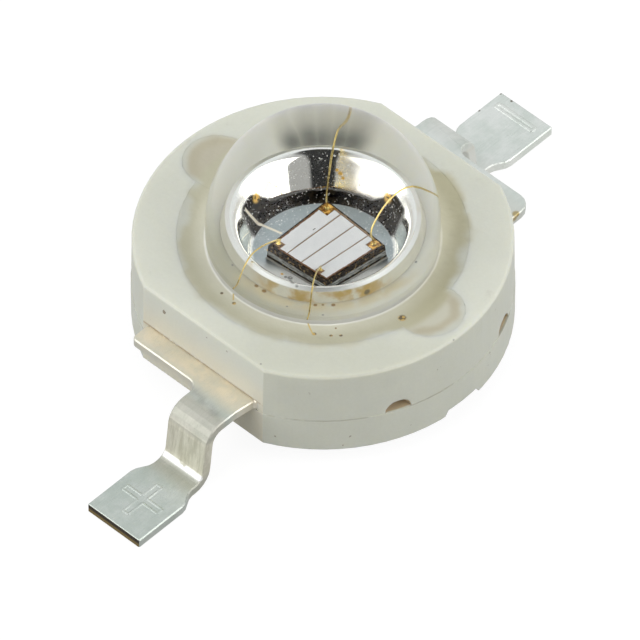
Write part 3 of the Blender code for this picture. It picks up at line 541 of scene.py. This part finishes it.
def lead_material():
    """Satin silver, warm and stained near the body, duller on the anode, with a painted highlight on
    the lower bend.
    """
    shade = Shade("satin_silver")
    reach = shade.unsigned(shade.x)
    cathode = shade.smooth(shade.x, -1.0, 1.0)

    def tone(anode_tone, cathode_tone):
        return shade.mix(cathode, anode_tone, cathode_tone)

    neck = shade.times(shade.fade(reach, 5.4, 5.8), shade.smooth(reach, 4.3, 4.6))
    silver = shade.mix(neck, tone((0.60, 0.635, 0.59), (0.78, 0.80, 0.755)),
                       tone((0.565, 0.555, 0.485), (0.73, 0.745, 0.70)))
    shadow = shade.times(shade.stroke(*NECK_SHADOW, 0.16, 0.11),
                         shade.patches(0.25, 0.6, 4.0, 4.0, 0.6), 0.5)
    silver = shade.mix(shadow, silver, (0.32, 0.32, 0.30))
    streak = shade.noise(9.0, 4.0, 0.6, stretch=(0.25, 3.0, 1.0))
    silver = shade.mix(streak, shade.tint(silver, (0.90, 0.90, 0.90)),
                       shade.tint(silver, (1.10, 1.10, 1.10)))
    stain = shade.patches(0.35, 0.65, 1.8, 4.0, 0.6)
    silver = shade.mix(stain, silver, shade.tint(silver, (0.86, 0.89, 0.87)))
    tan = shade.times(shade.fade(reach, 3.9, 4.45), shade.linear(stain, 0.4, 0.6))
    colour = shade.mix(tan, silver, tone((0.95, 0.86, 0.69), (0.69, 0.70, 0.635)))
    riser = shade.times(shade.band(shade.z, 0.32, 1.25, 0.1), shade.smooth(reach, 4.6, 4.8))
    trickle = shade.patches(0.35, 0.65, 4.0, 4.0, 0.65, stretch=(0.5, 2.2, 0.35))
    colour = shade.mix(riser, colour, shade.mix(trickle, (0.60, 0.58, 0.47), (0.78, 0.76, 0.65)))
    colour = shade.mix(shade.times(riser, cathode), colour, (0.74, 0.75, 0.70))
    # Painted highlight along the lower bend
    bend_highlight = shade.times(shade.band(shade.z, 0.27, 0.37, 0.02), shade.band(reach, 5.14, 5.42, 0.02),
                       shade.patches(0.3, 0.5, 5.0))
    colour = shade.mix(bend_highlight, colour, (0.97, 0.97, 0.95))
    cut_end = shade.smooth(reach, LEAD_END - 0.015, LEAD_END - 0.008)
    copper = shade.mix(shade.smooth(shade.z, 0.09, 0.16), (0.24, 0.17, 0.055), (0.03, 0.02, 0.01))
    colour = shade.mix(cut_end, colour, copper)
    colour = shade.stained(colour, LEAD_SPOTS, 0.8, (0.10, 0.07, 0.04))
    colour = shade.stained(colour, WING_STAINS, 0.8, (0.42, 0.31, 0.10))
    rough = shade.linear(shade.noise(12.0, 5.0, 0.7), 0.26, 0.26)
    shade.set(Base_Color=colour, Metallic=0.8, Roughness=shade.linear(neck, 0.16, rough))
    shade.bump(shade.math("ADD", streak, shade.noise(3.0, 2.0)), 0.012)
    return shade.mat


def wire_material():
    shade = Shade("pale_gold")
    colour = shade.mix(shade.noise(30.0), (0.66, 0.48, 0.14), (0.88, 0.72, 0.32))
    shade.set(Base_Color=colour, Metallic=1.0,
              Roughness=shade.linear(shade.noise(40.0), 0.2, 0.15))
    shade.bump(shade.noise(60.0, 2.0), 0.001)
    return shade.mat


def contact_material():
    """Contact film: gold on its corner pads, thin and brown on its bar and fingers."""
    shade = Shade("contact_film")
    along, across = shade.chip_axes()
    pad = shade.times(shade.smooth(along, 0.350, 0.362),
                      shade.smooth(shade.unsigned(across), 0.350, 0.362))
    gold = shade.mix(shade.patches(0.42, 0.58, 18.0, 3.0, 0.6),
                     (0.22, 0.09, 0.02), (0.95, 0.60, 0.16))
    brown = shade.mix(shade.noise(30.0), (0.24, 0.14, 0.07), (0.44, 0.30, 0.17))
    shade.set(Base_Color=shade.mix(pad, brown, gold), Metallic=shade.linear(pad, 0.6, 0.3),
              Roughness=0.35)
    shade.bump(shade.noise(40.0), 0.002)
    return shade.mat


def epoxy_material():
    shade = Shade("silver_epoxy")
    grains = shade.noise(60.0, 4.0, 0.7)
    shade.set(Base_Color=shade.mix(grains, (0.16, 0.15, 0.13), (0.50, 0.49, 0.45)),
              Metallic=0.6, Roughness=0.4)
    shade.bump(grains, 0.003)
    return shade.mat


def mesa_colour(shade):
    """Pale violet film with a brown edge, a dark corner under the left pad and a scratch."""
    along, across = shade.chip_axes()
    mesa = shade.mix(shade.noise(10.0), (0.765, 0.775, 0.78), (0.855, 0.855, 0.85))
    edge = shade.most(shade.unsigned(along), shade.unsigned(across))
    ragged = shade.linear(shade.noise(20.0), 0.03, edge)
    mesa = shade.mix(shade.smooth(ragged, MESA_REACH - 0.012, MESA_REACH - 0.004), mesa,
                     (0.20, 0.10, 0.05))
    corner = shade.most(shade.math("ADD", along, MESA_REACH),
                        shade.math("SUBTRACT", MESA_REACH, across))
    mesa = shade.mix(shade.fade(corner, 0.125, 0.145), mesa, (0.30, 0.17, 0.08))
    mesa = shade.mix(shade.fade(corner, 0.105, 0.120), mesa, (0.045, 0.025, 0.015))
    scratch = shade.times(shade.band(along, 0.066, 0.114, 0.006),
                          shade.band(across, 0.316, 0.328, 0.003))
    return shade.mix(scratch, mesa, (0.06, 0.05, 0.05))


def chip_material():
    """A mesa on a crystal whose sides are dark above and grey below."""
    shade = Shade("chip_crystal")
    flecks = shade.patches(0.56, 0.62, 24.0, 4.0, 0.7)
    dark = shade.mix(flecks, (0.018, 0.010, 0.006), (0.42, 0.28, 0.12))
    grey = shade.mix(shade.patches(0.38, 0.62, 8.0, 4.0, 0.6, stretch=(1, 1, 6)),
                     (0.10, 0.10, 0.09), (0.50, 0.51, 0.48))
    side = shade.mix(shade.band(shade.z, 2.455, 2.530, 0.008), dark, grey)
    top = shade.smooth(shade.z, MESA_MIDDLE - 0.002, MESA_MIDDLE + 0.002)
    shade.set(Base_Color=shade.mix(top, side, mesa_colour(shade)),
              Roughness=shade.linear(top, -0.25, 0.5), Specular_IOR_Level=0.12)
    shade.bump(shade.noise(50.0), 0.0006)
    return shade.mat


def clear_material(name, tint, ior):
    shade = Shade(name)
    shade.set(Base_Color=shade.mix(shade.noise(1.5, 2.0), tint, tuple(0.99 * c for c in tint)),
              Roughness=0.0, Transmission_Weight=1.0, IOR=ior, Specular_Tint=(0.35, 0.35, 0.35))
    return shade.mat


def bonded_material(name, tint):
    """Faces where clear meets clear or meets what it is bonded to: light goes straight on."""
    shade = Shade(name)
    through = shade.add("BsdfTransparent")
    shade.feed(through.inputs["Color"], shade.mix(shade.noise(2.0, 2.0), tint,
                                                  tuple(0.995 * c for c in tint)))
    shade.link(through.outputs[0], shade.output.inputs["Surface"])
    return shade.mat


# Mesh helpers


def mesh_object(name, bm, materials, body="root"):
    bmesh.ops.remove_doubles(bm, verts=bm.verts, dist=WELD)
    bmesh.ops.recalc_face_normals(bm, faces=bm.faces)
    mesh = bpy.data.meshes.new(name)
    bm.to_mesh(mesh)
    bm.free()
    for mat in materials:
        mesh.materials.append(mat)
    mesh.shade_smooth()
    mesh.set_sharp_from_angle(angle=SMOOTH_ANGLE)
    obj = bpy.data.objects.new(name, mesh)
    bpy.context.scene.collection.objects.link(obj)
    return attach(obj, body)


def skin(bm, rings, slots):
    """Faces between each ring of verts and the next, with a material slot for each strip."""
    for (lower, upper), slot in zip(zip(rings, rings[1:]), slots):
        if len(lower) == 1 or len(upper) == 1:
            tip, ring = (lower[0], upper) if len(lower) == 1 else (upper[0], lower)
            for i in range(len(ring)):
                bm.faces.new((tip, ring[i], ring[(i + 1) % len(ring)])).material_index = slot
            continue
        for i in range(len(lower)):
            j = (i + 1) % len(lower)
            bm.faces.new((lower[i], lower[j], upper[j], upper[i])).material_index = slot


def turned(name, profile, slots, materials, angles, reach=None):
    """Spin (radius, z) points round Z. reach, where given, moves a ring's radius by angle."""
    bm = bmesh.new()
    rings = []
    for index, (radius, z) in enumerate(profile):
        if radius == 0:
            rings.append([bm.verts.new((0, 0, z))])
            continue
        ring = []
        for angle in angles:
            r, h = reach(index, angle, radius, z) if reach else (radius, z)
            ring.append(bm.verts.new((r * cos(angle), r * sin(angle), h)))
        rings.append(ring)
    skin(bm, rings, slots)
    return mesh_object(name, bm, materials)


def dome_arc(radius, end_z, steps):
    """Half section of a dome from its top down to the height end_z."""
    last = acos((end_z - DOME_CENTRE_Z) / radius)
    return [(radius * sin(last * i / steps), DOME_CENTRE_Z + radius * cos(last * i / steps))
            for i in range(steps + 1)]


def even_angles(steps):
    return [2 * pi * i / steps for i in range(steps)]


# Clear pieces


def build_lens(glass, bonded):
    outside = dome_arc(DOME_RADIUS, DOME_CENTRE_Z, DOME_STEPS)
    bond_top = LENS_BASE_Z + BOND_RISE
    skirt = [(DOME_RADIUS, bond_top + (DOME_CENTRE_Z - bond_top) * share)
             for share in (0.66, 0.33, 0.0)]
    foot = [(DOME_RADIUS, LENS_BASE_Z + LENS_CHAMFER), (DOME_RADIUS - LENS_CHAMFER, LENS_BASE_Z)]
    inside = dome_arc(CAVITY_RADIUS, LENS_BASE_Z, CAVITY_STEPS)[::-1]
    profile = outside + skirt + foot + inside
    glass_strips = len(outside) + len(skirt) - 1
    slots = [0] * glass_strips + [1] * (len(profile) - 1 - glass_strips)
    lens = turned("dome_lens", profile, slots, [glass, bonded], even_angles(ROUND_STEPS))
    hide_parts("lens")
    return lens


def lobe_reach(angle, radius):
    """How far out the recess goes in a direction, with its two filling lobes."""
    off_axis = abs(abs(angle % (2 * pi) - pi) - pi / 2)
    across = RECESS_RADIUS * sin(off_axis)
    if across >= LOBE_RADIUS - GAP:
        return radius
    out = RECESS_RADIUS * cos(off_axis) + sqrt((LOBE_RADIUS - GAP) ** 2 - across ** 2)
    return max(radius, out)


def filling_angles():
    """Even steps round the part, with closer ones where the lobes begin."""
    edge = 2 * asin(0.5 * LOBE_RADIUS / RECESS_RADIUS)
    angles = set(round(a, 6) for a in even_angles(ROUND_STEPS))
    for middle in (pi / 2, 3 * pi / 2):
        for side in (-1, 1):
            for i in range(LOBE_EDGE_STEPS):
                angles.add(round(middle + side * edge * (1 - 0.001 * i ** 2), 6))
    return sorted(angles)


def build_filling(glass, bonded):
    wall = RECESS_RADIUS - GAP
    cavity = dome_arc(CAVITY_RADIUS - GAP, LENS_BASE_Z - GAP, FILLING_DOME_STEPS)
    surface = [(DOME_RADIUS + out * MM, LENS_BASE_Z + up * MM) for out, up in MENISCUS]
    surface += [(wall - back * MM, LENS_BASE_Z + up * MM) for back, up in MENISCUS_AT_WALL]
    foot = [(RING_OUTER_RADIUS - 0.02 * MM, LENS_BASE_Z - GAP),
            (DOME_RADIUS + GAP, LENS_BASE_Z - GAP)]
    under = [(wall, LOBE_FLOOR_Z + GAP), (wall, LOBE_FLOOR_Z + GAP),
             (wall, CHANNEL_FLOOR_Z + GAP),
             (RING_OUTER_RADIUS + GAP, CHANNEL_FLOOR_Z + GAP),
             (RING_OUTER_RADIUS + GAP, RING_TOP_Z + GAP),
             (RING_CONE_RADIUS, RING_TOP_Z + GAP),
             (POST_RADIUS + GAP, RING_TOP_Z + RING_RISE + GAP),
             (POST_RADIUS + GAP, CUP_RIM_Z - CUP_RIM_CHAMFER + GAP),
             (CUP_RIM_RADIUS + GAP, CUP_RIM_Z + GAP)]
    under += [(max(r - GAP, 0), z + GAP) for r, z in cup_section()]
    profile = cavity + foot + surface + under
    first = len(cavity)
    last = first + len(foot) + len(surface) - 1
    slots = [0 if first <= i < last else 1 for i in range(len(profile) - 1)]
    shares = {last: 1.0, last - 1: 1.0, last - 2: 1.0, last - 3: 0.5, last + 1: 1.0}

    def reach(index, angle, radius, z):
        """The outer rings follow the lobes, and those nearer the lens follow them less."""
        share = shares.get(index, 0.0)
        return radius + share * (lobe_reach(angle, wall) - wall), z

    filling = turned("clear_filling", profile, slots, [glass, bonded], filling_angles(), reach)
    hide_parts("silicone_gel")
    return filling


# Heat slug


def cup_section():
    """Mirror cup from its crest in to the axis, with a rounded corner at its floor."""
    slope = atan2(CUP_LIP_Z - CUP_FLOOR_Z, CUP_LIP_RADIUS - CUP_FLOOR_RADIUS)
    middle = CUP_FLOOR_RADIUS - CUP_FILLET * tan(0.5 * slope)
    corner = []
    for i in range(CUP_FILLET_STEPS + 1):
        turn = slope * (1 - i / CUP_FILLET_STEPS) - 0.5 * pi
        corner.append((middle + CUP_FILLET * cos(turn),
                       CUP_FLOOR_Z + CUP_FILLET * (1 + sin(turn))))
    return [(CUP_CREST_RADIUS, CUP_RIM_Z), (CUP_LIP_RADIUS, CUP_LIP_Z)] + corner + [
        (0.5 * CUP_FLOOR_RADIUS, CUP_FLOOR_Z), (0, CUP_FLOOR_Z)]


def build_slug(mat):
    """The slug of the solids again, with a round enough cup to mirror cleanly."""
    profile = cup_section()[::-1] + [
        (CUP_RIM_RADIUS, CUP_RIM_Z), (POST_RADIUS, CUP_RIM_Z - CUP_RIM_CHAMFER),
        (POST_RADIUS, SLUG_SHOULDER_Z), (SLUG_SHOULDER_RADIUS, SLUG_SHOULDER_Z),
        (SLUG_SHOULDER_RADIUS, SLUG_BASE_Z), (SLUG_BASE_RADIUS, SLUG_BASE_Z),
        (SLUG_BASE_RADIUS, SLUG_CHAMFER), (SLUG_BASE_RADIUS - SLUG_CHAMFER, 0), (0, 0)]
    slug = turned("mirror_slug", profile, [0] * (len(profile) - 1), [mat],
                  even_angles(ROUND_STEPS))
    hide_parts("heat_slug")
    return slug


# Marks raised on the feet


def mark_line(outline, corner, passes):
    """Round the corners of a closed outline, each within that distance of its corner."""
    points = []
    for i, point in enumerate(Vector(p) for p in outline):
        before, after = Vector(outline[i - 1]), Vector(outline[(i + 1) % len(outline)])
        points += [point + (before - point).normalized() * corner, point,
                   point + (after - point).normalized() * corner]
    for _ in range(passes):
        smoother = []
        for i, point in enumerate(points):
            after = points[(i + 1) % len(points)]
            smoother += [0.75 * point + 0.25 * after, 0.25 * point + 0.75 * after]
        points = smoother
    return points


def ridge(name, centre, outline, half_width, height, mat):
    """Low rounded ridge along a closed outline on the top of a foot."""
    bm = bmesh.new()
    points = mark_line(outline, MARK_CORNER, MARK_SMOOTHINGS)
    count = len(points)
    rings = []
    for i, point in enumerate(points):
        along = (points[(i + 1) % count] - points[i - 1]).normalized()
        across = Vector((along.y, -along.x))
        ring = []
        for side, up in RIDGE_SECTION:
            spot = point + across * side * half_width
            ring.append(bm.verts.new((centre[0] + spot.x, centre[1] + spot.y,
                                      FOOT_TOP_Z + up * height)))
        rings.append(ring)
    for i in range(count):
        lower, upper = rings[i], rings[(i + 1) % count]
        for k in range(len(RIDGE_SECTION)):
            j = (k + 1) % len(RIDGE_SECTION)
            bm.faces.new((lower[k], lower[j], upper[j], upper[k]))
    return mesh_object(name, bm, [mat])


def build_marks(mat):
    arm, half = PLUS_REACH, PLUS_HALF_WIDTH
    plus = [(half, half), (half, arm), (-half, arm), (-half, half), (-arm, half), (-arm, -half),
            (-half, -half), (-half, -arm), (half, -arm), (half, -half), (arm, -half), (arm, half)]
    ridge("plus_mark", PLUS_CENTRE, plus, *PLUS_RIDGE, mat)
    reach, half = MINUS_REACH, MINUS_HALF_WIDTH
    minus = [(half, -reach), (half, reach), (-half, reach), (-half, -reach)]
    ridge("minus_mark", MINUS_CENTRE, minus, *MINUS_RIDGE, mat)


# Stage


def level_axes():
    """Level directions towards the camera and to its right."""
    toward = -Vector((sin(VIEW_AZIMUTH), cos(VIEW_AZIMUTH), 0))
    return toward, Vector((cos(VIEW_AZIMUTH), -sin(VIEW_AZIMUTH), 0))


def raised(level, elevation):
    """A level direction turned up by an angle."""
    return level * cos(elevation) + Vector((0, 0, sin(elevation)))


def build_camera():
    toward, right = level_axes()
    back = raised(toward, VIEW_ELEVATION)
    up = Vector((0, 0, cos(VIEW_ELEVATION))) - toward * sin(VIEW_ELEVATION)
    data = bpy.data.cameras.new("photo_camera")
    data.sensor_width = SENSOR_WIDTH
    data.lens = SENSOR_WIDTH * VIEW_DISTANCE / VIEW_WIDTH
    data.clip_start = 0.01
    data.clip_end = 20.0
    camera = bpy.data.objects.new("photo_camera", data)
    aim = Vector((0, 0, AIM_HEIGHT)) + right * AIM_RIGHT + up * AIM_UP
    turn = Matrix((right, up, back)).transposed().to_4x4()
    camera.matrix_world = Matrix.Translation(aim + back * VIEW_DISTANCE) @ turn
    bpy.context.scene.collection.objects.link(camera)
    bpy.context.scene.camera = camera


def build_lamps():
    toward, _ = level_axes()
    for name, side in (("lamp_left", -1), ("lamp_right", 1)):
        direction = raised(Matrix.Rotation(side * LAMP_TURN, 3, "Z") @ toward, LAMP_ELEVATION)
        data = bpy.data.lights.new(name, "AREA")
        data.shape = "RECTANGLE"
        data.size, data.size_y = LAMP_SIZE
        data.energy = LAMP_POWER
        lamp = bpy.data.objects.new(name, data)
        turn = direction.to_track_quat("Z", "Y").to_matrix().to_4x4()
        lamp.matrix_world = Matrix.Translation(direction * LAMP_DISTANCE) @ turn
        bpy.context.scene.collection.objects.link(lamp)


def build_world():
    """Pale studio, dimmer behind the camera, with two bright strips and two dark cards."""
    world = bpy.data.worlds.new("studio")
    bpy.context.scene.world = world
    world.use_nodes = True
    sky = Nodes(world.node_tree)
    direction = sky.add("TexCoord").outputs["Generated"]

    def along(axis):
        node = sky.add("VectorMath")
        node.operation = "DOT_PRODUCT"
        sky.link(direction, node.inputs[0])
        node.inputs[1].default_value = axis
        return node.outputs["Value"]

    toward, right = level_axes()
    height, facing, sideways = along((0, 0, 1)), along(toward), sky.unsigned(along(right))
    light = sky.mix(sky.smooth(height, 0.25, 0.6), (0.72, 0.72, 0.72), (0.86, 0.89, 0.92))
    dim = sky.mix(sky.smooth(height, 0.0, 0.4), (0.35, 0.35, 0.35), (0.42, 0.42, 0.42))
    light = sky.mix(sky.smooth(facing, 0.1, 0.6), light, dim)
    strips = sky.times(sky.band_between(sideways, 0.28, 0.36, 0.80, 0.90),
                       sky.smooth(facing, 0.1, 0.3), sky.fade(height, 0.20, 0.26))
    light = sky.mix(strips, light, (1.5, 1.5, 1.5))
    full, end = OVERHEAD_CARD_REACH
    overhead = sky.smooth(along(raised(toward, OVERHEAD_CARD_ELEVATION)), cos(end), cos(full))
    light = sky.mix(overhead, light, (0.08, 0.08, 0.08))
    card = sky.times(sky.fade(sideways, 0.17, 0.24), sky.smooth(facing, 0.05, 0.3),
                     sky.smooth(height, -0.05, 0.02))
    background = sky.tree.nodes["Background"]
    sky.link(sky.mix(card, light, (0.02, 0.02, 0.02)), background.inputs["Color"])
    background.inputs["Strength"].default_value = 1.0


def floor_material():
    """White where it is seen, a plain glow in what mirrors it, and dull to all other light."""
    shade = Shade("white_floor")
    path = shade.add("LightPath").outputs

    def shader(kind, *sources):
        node = shade.add(kind)
        for socket, source in zip(node.inputs, sources):
            shade.feed(socket, source)
        return node.outputs[0]

    paper = shade.mix(shade.noise(0.3, 2.0), (0.15, 0.15, 0.15), (0.16, 0.16, 0.16))
    white = shader("AddShader", shader("Emission", (1.0, 1.0, 1.0), FLOOR_GLOW),
                   shader("BsdfDiffuse", paper))
    dull = shader("BsdfDiffuse", (FLOOR_BOUNCE, FLOOR_BOUNCE, FLOOR_BOUNCE))
    near, far = FLOOR_MIRRORED
    beyond = shade.smooth(shade.times(shade.toward(), -1.0), 0.0, 5.0)
    mirrored = shader("Emission", (1.0, 1.0, 1.0), shade.linear(beyond, far - near, near))
    unseen = shader("MixShader", path["Is Glossy Ray"], dull, mirrored)
    seen = shade.most(path["Is Camera Ray"], path["Is Transmission Ray"])
    shade.link(shader("MixShader", seen, unseen, white), shade.output.inputs["Surface"])
    return shade.mat


def build_floor():
    bm = bmesh.new()
    bm.faces.new([bm.verts.new((x * FLOOR_REACH, y * FLOOR_REACH, 0.0))
                  for x, y in ((-1, -1), (1, -1), (1, 1), (-1, 1))])
    mesh = bpy.data.meshes.new("floor")
    bm.to_mesh(mesh)
    bm.free()
    floor = bpy.data.objects.new("floor", mesh)
    bpy.context.scene.collection.objects.link(floor)
    mesh.materials.append(floor_material())


# Assembly


def dress(node, mat):
    """Give every face of a CAD node one material."""
    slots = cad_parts[node].data.materials
    slots.clear()
    slots.append(mat)


def build_scene():
    build_camera()
    build_lamps()
    build_world()
    build_floor()
    dress("housing", plastic_material())
    satin = lead_material()
    dress("anode_lead", satin)
    dress("cathode_lead", satin)
    dress("die_attach", epoxy_material())
    dress("led_chip", chip_material())
    wire = wire_material()
    for index in range(1, 5):
        dress("bond_wire_%d" % index, wire)
    contact = contact_material()
    for node in ("n_contact", "p_pad_left", "p_pad_right"):
        dress(node, contact)
    build_slug(slug_material())
    build_lens(clear_material("lens_glass", (1.0, 1.0, 0.995), 1.46),
               bonded_material("lens_bond", (1.0, 1.0, 1.0)))
    build_filling(filling_surface(),
                  bonded_material("filling_bond", (1.0, 1.0, 0.99)))
    build_marks(satin)
    bpy.context.scene.view_settings.view_transform = "Standard"
    bpy.context.scene.cycles.transparent_max_bounces = 32
    bpy.context.scene.cycles.transmission_bounces = 16
    bpy.context.scene.cycles.max_bounces = 20
    bpy.context.scene.cycles.diffuse_bounces = 10


build_scene()
